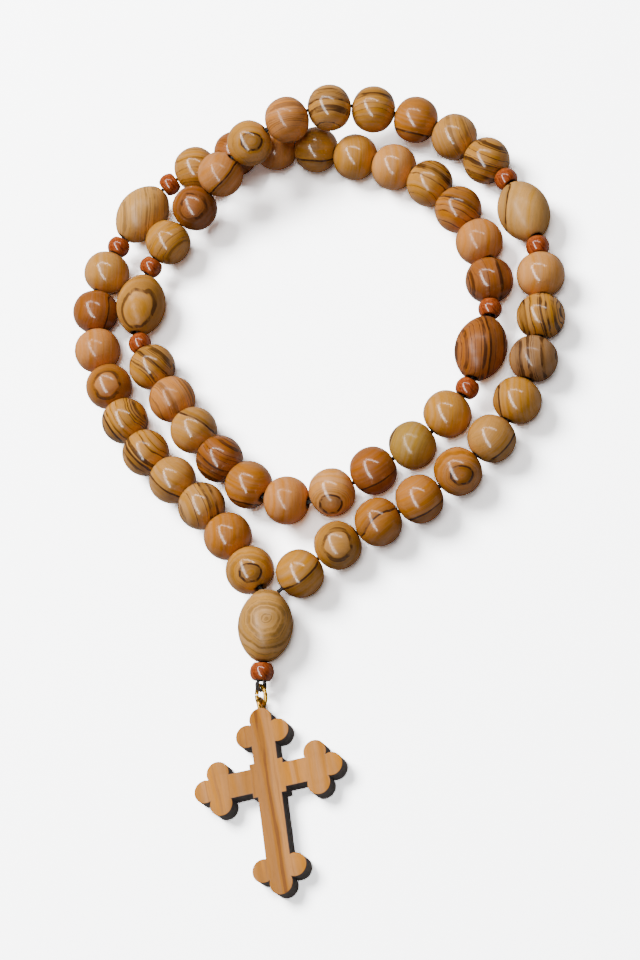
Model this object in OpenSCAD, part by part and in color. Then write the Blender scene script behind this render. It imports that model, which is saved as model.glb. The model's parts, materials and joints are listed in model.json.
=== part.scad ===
// Five-decade rosary of olive wood beads, laid on a table as a loop of two turns.
// The table is z = 0, +Z is up, and the cross lies towards -Y.
// The cord's route is drawn once by hand. The route is then scaled until the beads fill it from
// end to end, and every bead, bore and cord ring takes its place along it.

/* [Round beads] */
// Diameter of a round bead
bead_d = 10; // [8:0.5:12]
// How far each end of a round bead is worn back from a full ball
bead_flat = 0.25; // [0.1:0.05:0.4]
// How much the rounded ends of a round bead are flatter than its sides
end_flatter = 0.5; // [0.2:0.1:0.8]
// Bore of a round bead
bead_bore = 1.8; // [1.5:0.1:2.4]

/* [Oval beads] */
// Diameter of an oval bead
oval_d = 10.8; // [9:0.1:11.2]
// Length of an oval bead
oval_l = 14.1; // [12:0.1:17]
// Diameter of the centre bead, where the loop closes
centre_d = 11.2; // [9:0.1:13]
// Length of the centre bead
centre_l = 15; // [13:0.1:18]
// Radius of the rounded ends of the oval beads and the centre bead
oval_end_r = 4; // [3.6:0.1:4.4]

/* [Spacer beads] */
// Diameter of a spacer bead
spacer_d = 4.9; // [4:0.1:6]
// Length of a spacer bead
spacer_l = 3.6; // [3:0.1:4.2]
// Bore of the spacer, oval and centre beads, wide enough for two cords
pair_bore = 2.3; // [2.1:0.1:2.6]

/* [Cord] */
// Diameter of the cord
cord_d = 1; // [0.7:0.05:1.1]
// Free play between two beads, or between two cords in one bore
play = 0.06; // [0.04:0.01:0.2]

/* [Jump ring and screw eye] */
// Diameter of the gold wire of the jump ring and the screw eye
wire_d = 0.8; // [0.6:0.05:0.85]
// Diameter of the jump ring, from wire centre to wire centre
ring_d = 4.2; // [3.8:0.1:6]
// Diameter of the screw eye's loop, from wire centre to wire centre
eye_d = 3.2; // [3:0.1:3.2]
// Diameter of the screw eye's shank
shank_d = 1; // [0.8:0.1:1.4]
// Length of the shank in the wood
shank_l = 6; // [4:0.5:8]

/* [Cross] */
// Thickness of the cross
cross_t = 4; // [4:0.25:6]
// Width of the cross's arms
arm_w = 5; // [4:0.25:6]
// From the crossing to the side lobes of the top arm
arm_top = 9.3; // [8:0.1:12]
// From the crossing to the side lobes of the left and right arms
arm_side = 10.2; // [8:0.1:13]
// From the crossing to the side lobes of the bottom arm
arm_bottom = 18.2; // [14:0.1:24]
// Radius of a lobe
lobe_r = 2.35; // [2:0.05:2.6]
// From the middle of an arm to its side lobes
lobe_out = 3.2; // [2.8:0.1:3.6]
// From the side lobes to the tip lobe
lobe_tip = 2.95; // [2.6:0.05:3.4]
// How far the square block at the crossing steps out beyond the arms
step_w = 1; // [0.5:0.1:1.5]

/* [Hidden] */
$fn = 64;
eps = 0.01;
decades = 5;
beads_per_decade = 10;
group = beads_per_decade + 3;
piece_count = decades * group - 3;
gold = [0.86, 0.66, 0.28];
woods = [[0.78, 0.56, 0.33], [0.83, 0.62, 0.42], [0.66, 0.44, 0.24], [0.8, 0.6, 0.3]];

// The route of the loop's cord, drawn for 10 mm beads: [x, y, lift above a bead on the table].
// It starts and ends at the centre bead and goes round twice. The second turn climbs over the
// first one at the top left.
drawn_d = 10;
oval_lift = (oval_d - bead_d) / bead_d * drawn_d / 2;
route = [
    [-9.5, -24, 1], [-12.5, -20, 0.8], [-18, -12.5, 0.5], [-25, -6, 0.5],
    [-40, 6, 0], [-51, 22, 0], [-55.5, 31, 0], [-57.5, 41, 0],
    [-55.5, 50, 0], [-50, 64, oval_lift], [-38.5, 74.5, 0], [-29.5, 78, 0],
    [-19, 79, 0], [0, 75, 0], [18, 67.5, 0], [24.5, 60, 0],
    [30, 52.5, 0], [32, 43, 0], [32, 27.5, oval_lift], [26, 14, 0],
    [10.5, 1.5, 0], [2, -4, 0.5], [-7, -6.5, 1.5], [-15.5, -1, 0.5],
    [-23.5, 5, 0.5], [-36, 19, 0], [-42, 27, 0], [-46, 33.5, oval_lift],
    [-46.5, 41, oval_lift], [-46, 48.5, oval_lift], [-42.5, 54, 1], [-37.5, 62.5, 1.5],
    [-30.5, 68, 5], [-24.5, 74, 9], [-15.5, 79, 10], [-6.5, 84, 8],
    [3, 84.5, 4.5], [20.5, 79.5, 0.5], [28.5, 73, 0], [38, 61.5, oval_lift],
    [42.5, 46.5, 0], [43.5, 36.5, 0], [43, 27, 0], [36, 9, 0],
    [29.5, 1.5, 0.5], [14, -9.5, 0.5], [5, -14, 0], [-1.5, -20.5, 0],
    [-4.8, -24, 0.8]
];
// Top of the centre bead, where the two ends of the loop go in, drawn as the route is
drop_top = [-7.5, -24.4];
// How far the centre bead's lower end dips, and how far the cross is turned on the table
drop_tilt = 9;
cross_turn = 15;
// How far the jump ring is rolled from lying flat
ring_roll = -45;

// ---- The smooth line through the route's points ----
steps = 8;
function unit(v) = v / norm(v);
function gap_length(p, k) = norm(p[k + 1] - p[k]);
function heading(p, k) =
    k == 0 ? unit(p[1] - p[0]) :
    k == len(p) - 1 ? unit(p[k] - p[k - 1]) :
    let (before = gap_length(p, k - 1), after = gap_length(p, k))
    (unit(p[k + 1] - p[k]) * before + unit(p[k] - p[k - 1]) * after) / (before + after);
function hermite(a, b, va, vb, u) =
    (2 * pow(u, 3) - 3 * pow(u, 2) + 1) * a + (pow(u, 3) - 2 * pow(u, 2) + u) * va
    + (3 * pow(u, 2) - 2 * pow(u, 3)) * b + (pow(u, 3) - pow(u, 2)) * vb;
function smooth(p) = concat([p[0]], [
    for (k = [0 : len(p) - 2]) for (j = [1 : steps])
        let (size = gap_length(p, k))
        hermite(p[k], p[k + 1], heading(p, k) * size, heading(p, k + 1) * size, j / steps)
]);
function running_total(values) =
    [for (i = 0, sum = 0; i <= len(values); sum = sum + (i < len(values) ? values[i] : 0), i = i + 1) sum];
function column(table, keys, c) = [for (k = [0 : len(table) - 1]) [keys[k], table[k][c]]];

line = smooth([for (p = route) [p.x, p.y, p.z + drawn_d / 2]]);
line_at = running_total([for (k = [0 : len(line) - 2]) gap_length(line, k)]);
line_x = column(line, line_at, 0);
line_y = column(line, line_at, 1);
line_z = column(line, line_at, 2);
line_length = line_at[len(line_at) - 1];
function on_line(s) = [lookup(s, line_x), lookup(s, line_y), lookup(s, line_z)];

// ---- The pieces in string order: ten round beads, spacer, oval, spacer, and so on ----
bead_end_r = bead_d / 2 + end_flatter;
function is_round(i) = i % group < beads_per_decade;
function is_oval(i) = i % group == beads_per_decade + 1;
function piece_d(i) = is_round(i) ? bead_d : is_oval(i) ? oval_d : spacer_d;
function piece_l(i) = is_round(i) ? bead_d - 2 * bead_flat : is_oval(i) ? oval_l : spacer_l;
function end_dome(i) = is_round(i) ? bead_end_r : is_oval(i) ? oval_end_r : 0;
function end_rim(i) =
    is_round(i) || is_oval(i) ? 0 : sqrt(pow(spacer_d / 2, 2) - pow(spacer_l / 2, 2));

// Where the cord bends, the ends of two beads need more room by half the bend's angle
function reach(i, half_bend) =
    end_rim(i) * tan(half_bend) + end_dome(i) * (1 / cos(half_bend) - 1);
function bend(a, b) = acos(min(1, unit(a) * unit(b)));

// A piece is straight, so it fills less than its length of a curved line
function cut_short(edges, gaps, i) =
    (gaps[i] + gaps[i + 1]) / 2 + piece_l(i) - gap_length(edges, i);
function room(edges, gaps, i) =
    let (half_bend = bend(edges[i + 1] - edges[i], edges[i + 2] - edges[i + 1]) / 2)
    play + reach(i, half_bend) + reach(i + 1, half_bend)
    + (cut_short(edges, gaps, i) + cut_short(edges, gaps, i + 1)) / 2;
function rooms(gaps) =
    let (edges = edges_of(gaps))
    concat([0], [for (i = [0 : piece_count - 2]) room(edges, gaps, i)], [0]);
function stations(gaps) =
    running_total([for (i = [0 : piece_count - 1]) gaps[i] / 2 + piece_l(i) + gaps[i + 1] / 2]);
function string_length(at) = at[piece_count];
function edges_of(gaps) =
    let (at = stations(gaps), size = string_length(at) / line_length)
    [for (s = at) on_line(s / size) * size];

first_gaps = [for (i = [0 : piece_count]) play];
gaps = rooms(rooms(rooms(first_gaps)));
route_scale = string_length(stations(gaps)) / line_length;
string_edges = edges_of(gaps);
function piece_dir(i) = unit(string_edges[i + 1] - string_edges[i]);
function piece_centre(i) =
    (string_edges[i] + string_edges[i + 1] + piece_dir(i) * (gaps[i] - gaps[i + 1]) / 2) / 2;
table_z = min([for (i = [0 : piece_count - 1]) piece_centre(i).z - piece_d(i) / 2]);

// ---- The drop: centre bead, spacer, jump ring, screw eye and cross ----
function side_r(d, l, end_r) =
    let (c = l / 2 - end_r) (c * c + d * d / 4 - end_r * end_r) / (d - 2 * end_r);
drop_dir = [0, -cos(drop_tilt), -sin(drop_tilt)];
centre_side_r = side_r(centre_d, centre_l, oval_end_r);
centre_z = centre_side_r - (centre_side_r - centre_d / 2) * cos(drop_tilt);
pivot = [
    drop_top.x * route_scale, drop_top.y * route_scale,
    table_z + centre_z + centre_l / 2 * sin(drop_tilt)
];
ring_clear = 0.6;
ring_top_at = centre_l + play + spacer_l + ring_clear + wire_d / 2;
ring_top = pivot + drop_dir * ring_top_at;
ring_tilt = asin((ring_top.z - table_z - cross_t / 2) / ring_d);
ring_dir = [0, -cos(ring_tilt), -sin(ring_tilt)];
eye_centre = ring_top + ring_dir * ring_d;
ring_middle = (ring_top + eye_centre) / 2;
// The ring's wire passes through the middle of the eye, so the wood starts below that wire
swing_room = 0.5;
eye_above_tip = wire_d / 2 + swing_room;
cross_tip = arm_top + lobe_tip + lobe_r;
cross_up = [-sin(cross_turn), cos(cross_turn), 0];
cross_centre = eye_centre - cross_up * (eye_above_tip + cross_tip) - [0, 0, cross_t / 2];

// The cord's turn round the jump ring is loose enough for the ring to swing in it, and its two
// sides only part once they are clear of the spacer's bore
turn_play = 0.2;
past_bore = 0.1;
// The sawn slot for the screw eye is a little longer and wider than the eye
slot_play = 0.1;
slot_side_play = 0.15;

// The loop's ends stop short of the pivot, and the drop's cords start in the flared mouth
flare_d = 4.4;
flare_depth = 1.6;
end_short = 0.75;
function stop_short(from) = pivot + unit(from - pivot) * end_short;

// ---- Where the whole object sits: its origin is the middle of its foot print ----
cross_low = cross_centre - cross_up * (arm_bottom + lobe_tip);
x_low = min([for (i = [0 : piece_count - 1]) piece_centre(i).x - piece_d(i) / 2]);
x_high = max([for (i = [0 : piece_count - 1]) piece_centre(i).x + piece_d(i) / 2]);
y_high = max([for (i = [0 : piece_count - 1]) piece_centre(i).y + piece_d(i) / 2]);
y_low = cross_low.y - lobe_r;
origin = [(x_low + x_high) / 2, (y_low + y_high) / 2, table_z];

function bead_name(d, b) = str("decade_", d, "_bead_", b);
function bead_index(d, b) = (d - 1) * group + b - 1;

// ---- Shapes ----
module along(centre, dir) {
    translate(centre - origin)
        rotate([0, acos(dir.z), atan2(dir.y, dir.x)])
            children();
}

module bore(d, l) {
    cylinder(d = d, h = l + 2, center = true);
}

// The larger ball whose top dresses one end of a round bead
module end_ball(end) {
    translate([0, 0, end * (bead_d / 2 - bead_flat - bead_end_r)])
        sphere(r = bead_end_r);
}

// A ball with slightly flatter ends, as a drilled bead has
module round_bead() {
    difference() {
        intersection() {
            sphere(d = bead_d);
            end_ball(1);
            end_ball(-1);
        }
        bore(bead_bore, bead_d);
    }
}

// Half outline of an oval bead: a long side arc that runs into a round end at each side
module oval_half(d, l, end_r) {
    c = l / 2 - end_r;
    big_r = side_r(d, l, end_r);
    side_half = c * big_r / (big_r - end_r);
    intersection() {
        translate([d / 2 - big_r, 0])
            circle(r = big_r, $fn = 128);
        translate([0, -side_half])
            square([d, 2 * side_half]);
    }
    for (end = [-1, 1])
        intersection() {
            translate([0, end * c])
                circle(r = end_r);
            translate([0, end > 0 ? side_half - eps : -l])
                square([d, l - side_half + eps]);
        }
}

module oval_bead(d, l) {
    difference() {
        rotate_extrude()
            oval_half(d, l, oval_end_r);
        bore(pair_bore, l);
    }
}

module spacer_bead() {
    difference() {
        intersection() {
            sphere(d = spacer_d);
            cylinder(d = spacer_d + 1, h = spacer_l, center = true);
        }
        bore(pair_bore, spacer_l);
    }
}

// A tube of eight sides through a list of points. The sides keep level with "level".
module tube(points, d, level) {
    sides = 8;
    last = len(points) - 1;
    function course(k) =
        unit((k < last ? unit(points[k + 1] - points[k]) : [0, 0, 0])
            + (k > 0 ? unit(points[k] - points[k - 1]) : [0, 0, 0]));
    rings = [
        for (k = [0 : last])
            let (way = course(k), across = unit(cross(level, way)), up = cross(way, across))
            for (j = [0 : sides - 1])
                points[k] - origin
                + (across * cos(j * 360 / sides) + up * sin(j * 360 / sides)) * d / 2
    ];
    walls = [
        for (k = [0 : last - 1]) for (j = [0 : sides - 1])
            let (a = k * sides + j, b = k * sides + (j + 1) % sides)
            for (half = [[a, b + sides, b], [a, a + sides, b + sides]]) half
    ];
    first_cap = [for (j = [0 : sides - 1]) j];
    last_cap = [for (j = [sides - 1 : -1 : 0]) last * sides + j];
    polyhedron(points = rings, faces = concat([first_cap], walls, [last_cap]));
}

module wire_ring(d) {
    rotate_extrude()
        translate([d / 2, 0])
            circle(d = wire_d, $fn = 32);
}

// One arm end: a rounded tip lobe between two side lobes
module lobes(reach_out) {
    for (side = [-1, 1])
        translate([side * lobe_out, reach_out])
            circle(r = lobe_r);
    translate([0, reach_out + lobe_tip])
        circle(r = lobe_r);
}

module arm(turn, reach_out) {
    rotate(turn) {
        translate([-arm_w / 2, 0])
            square([arm_w, reach_out + lobe_tip / 2]);
        lobes(reach_out);
    }
}

// From the middle of the eye, along the cross's own axes
module at_eye() {
    translate(eye_centre - origin)
        rotate(cross_turn)
            children();
}

// ---- Sub-parts ----
module decade_bead(d, b) {
    i = bead_index(d, b);
    color(woods[(3 * b + 2 * d) % len(woods)])
        along(piece_centre(i), piece_dir(i))
            round_bead();
}

module loop_cord() {
    color([0.08, 0.07, 0.07])
        tube(
            concat([stop_short(string_edges[0])], string_edges,
                [stop_short(string_edges[piece_count])]),
            cord_d, [0, 0, 1]
        );
}

module oval_beads() {
    color([0.82, 0.64, 0.42])
        for (i = [0 : piece_count - 1])
            if (is_oval(i))
                along(piece_centre(i), piece_dir(i))
                    oval_bead(oval_d, oval_l);
}

module loop_spacers() {
    color([0.62, 0.27, 0.12])
        for (i = [0 : piece_count - 1])
            if (!is_round(i) && !is_oval(i))
                along(piece_centre(i), piece_dir(i))
                    spacer_bead();
}

// Two cords side by side down the drop, joined by the turn that holds the jump ring
module drop_cord() {
    flat = [cos(ring_roll), 0, -sin(ring_roll)];
    level = unit(flat - drop_dir * (flat * drop_dir));
    apart = cross(drop_dir, level);
    half = (cord_d + play) / 2;
    turn_r = (wire_d + cord_d) / 2 + turn_play;
    bore_end = centre_l + play + spacer_l + past_bore;
    function at(n, s) = pivot + apart * n + drop_dir * s;
    turn = [for (a = [180 : -45 : 0]) at(turn_r * cos(a), ring_top_at + turn_r * sin(a))];
    color([0.08, 0.07, 0.07])
        tube(
            concat([at(-half, flare_depth), at(-half, bore_end)], turn,
                [at(half, bore_end), at(half, flare_depth)]),
            cord_d, level
        );
}

module centre_bead() {
    color([0.74, 0.55, 0.34])
        along(pivot + drop_dir * centre_l / 2, drop_dir)
            difference() {
                oval_bead(centre_d, centre_l);
                translate([0, 0, -centre_l / 2 - eps])
                    cylinder(d1 = flare_d, d2 = pair_bore, h = flare_depth + eps);
            }
}

module drop_spacer() {
    color([0.62, 0.27, 0.12])
        along(pivot + drop_dir * (centre_l + play + spacer_l / 2), drop_dir)
            spacer_bead();
}

module jump_ring() {
    color(gold)
        translate(ring_middle - origin)
            rotate([ring_tilt, 0, 0])
                rotate([0, ring_roll, 0])
                    wire_ring(ring_d);
}

module screw_eye() {
    color(gold)
        at_eye() {
            rotate([0, 90, 0])
                wire_ring(eye_d);
            translate([0, -eye_d / 2, 0])
                rotate([90, 0, 0])
                    cylinder(d = shank_d, h = shank_l + wire_d / 2);
        }
}

module cross_body() {
    slot_r = (eye_d + wire_d) / 2 + slot_play;
    color([0.76, 0.57, 0.38])
        difference() {
            translate(cross_centre - origin)
                rotate(cross_turn)
                    linear_extrude(cross_t) {
                        arm(0, arm_top);
                        arm(90, arm_side);
                        arm(180, arm_bottom);
                        arm(270, arm_side);
                        square(arm_w + 2 * step_w, center = true);
                    }
            at_eye() {
                rotate([0, 90, 0])
                    cylinder(r = slot_r, h = wire_d + 2 * slot_side_play, center = true);
                translate([0, -eye_d / 2, 0])
                    rotate([90, 0, 0])
                        cylinder(d = shank_d, h = shank_l + wire_d / 2);
            }
        }
}

for (d = [1 : decades]) for (b = [1 : beads_per_decade])
    decade_bead(d, b);
loop_cord();
oval_beads();
loop_spacers();
drop_cord();
centre_bead();
drop_spacer();
jump_ring();
screw_eye();
cross_body();  // cross
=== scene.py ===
# A rosary of olive wood beads on a black cord, laid on a pale table as a loop of two turns, with a
# lobed cross on a gold ring. Sizes are in metres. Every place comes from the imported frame.

import json
import math

import bmesh
import bpy
import numpy as np
from mathutils import Matrix, Vector


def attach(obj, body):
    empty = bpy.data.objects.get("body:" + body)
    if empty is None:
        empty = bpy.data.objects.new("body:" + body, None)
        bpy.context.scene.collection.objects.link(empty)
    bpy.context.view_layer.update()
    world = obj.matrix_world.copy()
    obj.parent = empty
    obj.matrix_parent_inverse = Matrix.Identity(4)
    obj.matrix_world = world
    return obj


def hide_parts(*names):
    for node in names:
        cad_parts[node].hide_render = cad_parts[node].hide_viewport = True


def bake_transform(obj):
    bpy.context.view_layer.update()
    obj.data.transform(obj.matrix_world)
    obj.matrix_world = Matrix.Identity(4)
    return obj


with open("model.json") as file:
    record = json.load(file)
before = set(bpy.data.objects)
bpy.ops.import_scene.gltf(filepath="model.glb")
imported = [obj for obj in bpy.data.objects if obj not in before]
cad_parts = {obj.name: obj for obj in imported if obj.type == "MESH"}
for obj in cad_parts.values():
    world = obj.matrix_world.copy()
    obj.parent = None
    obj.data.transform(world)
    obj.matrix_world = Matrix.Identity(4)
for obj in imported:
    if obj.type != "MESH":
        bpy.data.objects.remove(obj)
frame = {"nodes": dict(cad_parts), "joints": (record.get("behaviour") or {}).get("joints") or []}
bpy.context.view_layer.update()


# ---- Camera ----
# It looks down on the table from the front right with a long lens, so the loop is hardly
# foreshortened and the right and lower sides of the cross show.
LENS = 82.5
CAMERA_AT = Vector((0.1515, -0.1592, 0.4050))
CAMERA_PITCH = 0.374365
CAMERA_ROLL = 0.324863

camera = bpy.data.objects.new("camera", bpy.data.cameras.new("camera"))
camera.data.lens = LENS
camera_turn = Matrix.Rotation(CAMERA_PITCH, 4, "X") @ Matrix.Rotation(CAMERA_ROLL, 4, "Y")
camera.matrix_world = Matrix.Translation(CAMERA_AT) @ camera_turn
bpy.context.scene.collection.objects.link(camera)
bpy.context.scene.camera = camera


# ---- The order of the string ----
# Fifty round beads turn on their own joints. Four ovals and eight spacers sit still on the cord
# between the decades, and their places are read from their solids.
DECADES = 5
BEADS_PER_DECADE = 10
MERGE = 1e-7
MM = 1000.0

joints = {joint["name"]: joint for joint in frame["joints"]}


def joint_at(name):
    return Vector(joints[name]["pos_m"]), Vector(joints[name]["axis"]).normalized()


def solids_of(node_name):
    """The middle and the turning axis of each separate solid of a node."""
    shape = bmesh.new()
    shape.from_mesh(frame["nodes"][node_name].data)
    bmesh.ops.remove_doubles(shape, verts=shape.verts, dist=MERGE)
    shape.faces.index_update()
    waiting = set(shape.faces)
    found = []
    while waiting:
        group = [waiting.pop()]
        for face in group:
            near = {other for edge in face.edges for other in edge.link_faces} & waiting
            waiting -= near
            group.extend(near)
        group.sort(key=lambda face: face.index)
        areas = np.array([face.calc_area() for face in group])[:, None]
        middles = np.array([face.calc_center_median() for face in group])
        centre = (middles * areas).sum(0) / areas.sum()
        spread = (middles - centre).T @ ((middles - centre) * areas)
        sizes, ways = np.linalg.eigh(spread)
        odd_one = 0 if sizes[1] - sizes[0] > sizes[2] - sizes[1] else 2
        found.append((Vector(centre), Vector(ways[:, odd_one])))
    shape.free()
    return found


def nearest(found, place):
    return min(found, key=lambda solid: (solid[0] - place).length)


def bead_place(decade, bead):
    return joint_at(f"spin_decade_{decade}_bead_{bead}")


oval_places = solids_of("oval_beads")
spacer_places = solids_of("loop_spacers")
string = []
for decade in range(1, DECADES + 1):
    for bead in range(1, BEADS_PER_DECADE + 1):
        string.append(("round", *bead_place(decade, bead)))
    if decade < DECADES:
        before = string[-1][1]
        after = bead_place(decade + 1, 1)[0]
        string.append(("spacer", *nearest(spacer_places, before)))
        string.append(("oval", *nearest(oval_places, (before + after) / 2)))
        string.append(("spacer", *nearest(spacer_places, after)))


# ---- Cord ----
# One black waxed cord, plaited from eight thin strands round a core. It runs through the whole loop,
# goes down the centre bead as a pair and turns round the jump ring. Its knot is inside the bead.
CORD_D = 0.00096
STRANDS = 8
PLAIT_PITCH = 0.0034
CORD_STEP = 0.00036
PIECE_LENGTH = {"round": 0.0095, "oval": 0.0141, "spacer": 0.0036}
CENTRE_L = 0.015
CORD_BORE_END = 0.0187
MOUTH_DEPTH = 0.0016
CORD_TURN_R = 0.0011
PAIR_APART = 0.00053
RING_ROLL = math.radians(-45)

pivot, drop_dir = joint_at("spin_centre_bead")
ring_top = joint_at("ring_swing")[0]
eye_centre = joint_at("cross_swing")[0]


def put(tree, kind, inputs=None, **settings):
    """Adds a node. A value that is a socket is linked, and any other is set."""
    node = tree.nodes.new(kind)
    for name, value in settings.items():
        setattr(node, name, value)
    for key, value in (inputs or {}).items():
        socket = node.inputs[key]
        if isinstance(key, str):
            socket = next(each for each in node.inputs if each.name == key and each.enabled)
        if isinstance(value, bpy.types.NodeSocket):
            tree.links.new(value, socket)
        else:
            socket.default_value = value
    return node


def result(node):
    """The output that a node with several data types has switched on."""
    return next(each for each in node.outputs if each.enabled)


def sum_up(tree, operation, *values):
    """A Math node's result. Values are sockets or numbers."""
    return put(tree, "ShaderNodeMath", dict(enumerate(values)), operation=operation).outputs[0]


def vector_sum(tree, operation, *values, **named):
    """A Vector Math node. Values are sockets or vectors."""
    inputs = dict(enumerate(values))
    inputs.update(named)
    return put(tree, "ShaderNodeVectorMath", inputs, operation=operation)


def geometry_tree(name, inputs):
    """A Geometry Nodes tree with named inputs: (label, socket type, value)."""
    tree = bpy.data.node_groups.new(name, "GeometryNodeTree")
    tree.interface.new_socket("Geometry", in_out="INPUT", socket_type="NodeSocketGeometry")
    for label, kind, value in inputs:
        socket = tree.interface.new_socket(label, in_out="INPUT", socket_type=kind)
        if value is not None:
            socket.default_value = value
    tree.interface.new_socket("Geometry", in_out="OUTPUT", socket_type="NodeSocketGeometry")
    return tree, tree.nodes.new("NodeGroupInput").outputs


def close_tree(tree, geometry, finish):
    """Ends a tree: real geometry, smooth shading and the finish, a material or a socket."""
    real = put(tree, "GeometryNodeRealizeInstances", {0: geometry})
    smooth = put(tree, "GeometryNodeSetShadeSmooth", {0: real.outputs[0]})
    finished = put(tree, "GeometryNodeSetMaterial", {0: smooth.outputs[0], "Material": finish})
    put(tree, "NodeGroupOutput", {0: finished.outputs[0]})


def start_mesh(name, points, edges=()):
    mesh = bpy.data.meshes.new(name)
    mesh.from_pydata([tuple(point) for point in points], list(edges), [])
    made = bpy.data.objects.new(name, mesh)
    bpy.context.scene.collection.objects.link(made)
    return made


def grow(piece, tree, **values):
    """Puts a tree on a starting mesh, with its inputs set by their identifiers."""
    modifier = piece.modifiers.new(tree.name, "NODES")
    modifier.node_group = tree
    for item in tree.interface.items_tree:
        if item.item_type == "SOCKET" and item.in_out == "INPUT" and item.name in values:
            modifier[item.identifier] = values[item.name]


def settle(pieces):
    """Turns each grown piece into a plain mesh."""
    bpy.context.view_layer.update()
    depsgraph = bpy.context.evaluated_depsgraph_get()
    grown = [bpy.data.meshes.new_from_object(piece.evaluated_get(depsgraph)) for piece in pieces]
    for piece, mesh in zip(pieces, grown):
        piece.modifiers.clear()
        mesh.name = piece.name
        piece.data = mesh
    bpy.context.view_layer.update()


def cord_route():
    """A closed route: up from the jump ring, round the loop, and back down to the ring."""
    flat = Vector((math.cos(RING_ROLL), 0, -math.sin(RING_ROLL)))
    level = (flat - drop_dir * flat.dot(drop_dir)).normalized()
    apart = drop_dir.cross(level)
    ring_at = (ring_top - pivot).length

    def down(side, depth):
        return pivot + apart * side + drop_dir * depth

    def turn(degrees):
        angle = math.radians(degrees)
        return down(CORD_TURN_R * math.cos(angle), ring_at + CORD_TURN_R * math.sin(angle))

    loop = []
    for kind, centre, axis in string:
        half = axis * PIECE_LENGTH[kind] / 2
        onward = half if not loop or half.dot(centre - loop[-1]) > 0 else -half
        if not loop:
            onward = half if half.dot(centre - pivot) > 0 else -half
        loop += [centre - onward, centre + onward]
    if (loop[0] - loop[-1]).dot(apart) < 0:
        loop.reverse()
    depths = [CORD_BORE_END, CORD_BORE_END / 2, MOUTH_DEPTH]
    up = [turn(90), turn(45), turn(0), *[down(PAIR_APART, depth) for depth in depths]]
    back = [*[down(-PAIR_APART, depth) for depth in reversed(depths)], turn(180), turn(135)]
    return up + loop + back


def plaited_cord_tree(material):
    tree, given = geometry_tree("plaited cord", [
        ("Diameter", "NodeSocketFloat", CORD_D),
        ("Strands", "NodeSocketInt", STRANDS),
        ("Pitch", "NodeSocketFloat", PLAIT_PITCH),
        ("Step", "NodeSocketFloat", CORD_STEP),
    ])
    strand_r = sum_up(tree, "MULTIPLY", given["Diameter"], 0.15)
    middle_r = sum_up(tree, "MULTIPLY", given["Diameter"], 0.29)
    weave = sum_up(tree, "MULTIPLY", given["Diameter"], 0.055)
    curve = put(tree, "GeometryNodeMeshToCurve", {0: given["Geometry"]})
    even = put(tree, "GeometryNodeResampleCurve",
               {"Curve": curve.outputs[0], "Length": given["Step"]}, mode="LENGTH")
    place = put(tree, "GeometryNodeInputPosition").outputs[0]
    soft = put(tree, "GeometryNodeBlurAttribute", {"Value": place, "Iterations": 4},
               data_type="FLOAT_VECTOR")
    line = put(tree, "GeometryNodeSetPosition", {"Geometry": even.outputs[0], "Position": result(soft)})
    length = put(tree, "GeometryNodeSplineParameter").outputs["Length"]
    marked = put(tree, "GeometryNodeStoreNamedAttribute",
                 {"Geometry": line.outputs[0], "Name": "along", "Value": length})
    copies = put(tree, "GeometryNodeDuplicateElements",
                 {"Geometry": marked.outputs[0], "Amount": given["Strands"]}, domain="SPLINE")
    number = copies.outputs["Duplicate Index"]
    side = sum_up(tree, "MULTIPLY_ADD", sum_up(tree, "MODULO", number, 2.0), -2.0, 1.0)
    turns = sum_up(tree, "DIVIDE", length, given["Pitch"])
    lay = sum_up(tree, "MULTIPLY", sum_up(tree, "MULTIPLY", turns, side), math.tau)
    first = sum_up(tree, "DIVIDE", sum_up(tree, "MULTIPLY", number, math.tau), given["Strands"])
    angle = sum_up(tree, "ADD", lay, first)
    lift = sum_up(tree, "MULTIPLY", sum_up(tree, "COSINE", sum_up(tree, "MULTIPLY", angle, 4.0)), weave)
    radius = sum_up(tree, "ADD", middle_r, sum_up(tree, "MULTIPLY", lift, side))
    normal = put(tree, "GeometryNodeInputNormal").outputs[0]
    tangent = put(tree, "GeometryNodeInputTangent").outputs[0]
    across = vector_sum(tree, "CROSS_PRODUCT", tangent, normal).outputs[0]
    one = vector_sum(tree, "SCALE", normal, Scale=sum_up(tree, "COSINE", angle)).outputs[0]
    two = vector_sum(tree, "SCALE", across, Scale=sum_up(tree, "SINE", angle)).outputs[0]
    out = vector_sum(tree, "SCALE", vector_sum(tree, "ADD", one, two).outputs[0], Scale=radius)
    strands = put(tree, "GeometryNodeSetPosition",
                  {"Geometry": copies.outputs[0], "Offset": out.outputs[0]})
    thin = put(tree, "GeometryNodeCurvePrimitiveCircle", {"Resolution": 5, "Radius": strand_r})
    thick = put(tree, "GeometryNodeCurvePrimitiveCircle", {"Resolution": 6, "Radius": middle_r})
    plait = put(tree, "GeometryNodeCurveToMesh", {0: strands.outputs[0], 1: thin.outputs[0]})
    core = put(tree, "GeometryNodeCurveToMesh", {0: marked.outputs[0], 1: thick.outputs[0]})
    joined = put(tree, "GeometryNodeJoinGeometry", {0: plait.outputs[0]})
    tree.links.new(core.outputs[0], joined.inputs[0])
    close_tree(tree, joined.outputs[0], material)
    return tree


def shade(red, green, blue):
    """A colour of the finished surface, 0 to 255, as the linear colour that a shader takes."""
    return tuple((part / 255) ** 2.2 for part in (red, green, blue))


def new_material(name, **plain):
    """A material with its plain constants on the Principled shader's own sockets."""
    material = bpy.data.materials.new(name)
    material.use_nodes = True
    shader = material.node_tree.nodes["Principled BSDF"]
    for label, value in plain.items():
        shader.inputs[label.replace("_", " ")].default_value = value
    return material, material.node_tree, shader


def noise(tree, vector, scale, detail):
    """An uneven value over a surface or through a piece of wood."""
    inputs = {"Vector": vector, "Scale": scale, "Detail": detail}
    return put(tree, "ShaderNodeTexNoise", inputs).outputs[0]


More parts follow.
